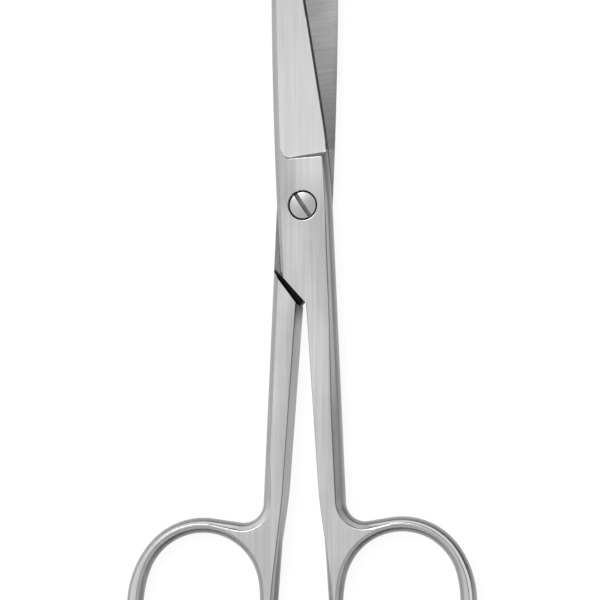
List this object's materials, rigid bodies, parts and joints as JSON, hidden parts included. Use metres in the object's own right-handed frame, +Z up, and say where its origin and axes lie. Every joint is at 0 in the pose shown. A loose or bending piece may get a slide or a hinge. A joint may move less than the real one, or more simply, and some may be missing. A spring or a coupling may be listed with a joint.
{
  "type": "surgical scissors",
  "caption": "Straight operating scissors with pointed blades, a lap joint with a flush slotted screw and finger rings, slightly open.",
  "frame": {"origin": "axis of the pivot screw at the underside that the scissors lie on", "axes": "+Y towards the tips, +Z up along the pivot screw, out of the slotted head"},
  "size_m": [0.0649, 0.1377, 0.004],
  "materials": {
    "satin_steel": "satin ground along the length",
    "screw_steel": "satin turned"
  },
  "bodies": {
    "lower": {"lower_half": "satin_steel", "pivot_screw": "screw_steel"},
    "upper": {"upper_half": "satin_steel"}
  },
  "joints": [
    {"name": "pivot", "type": "hinge", "parent": "lower", "child": "upper", "pos_m": [0, 0, 0.002], "axis": [0, 0, 1], "range_deg": [-5.25, 125]}
  ]
}
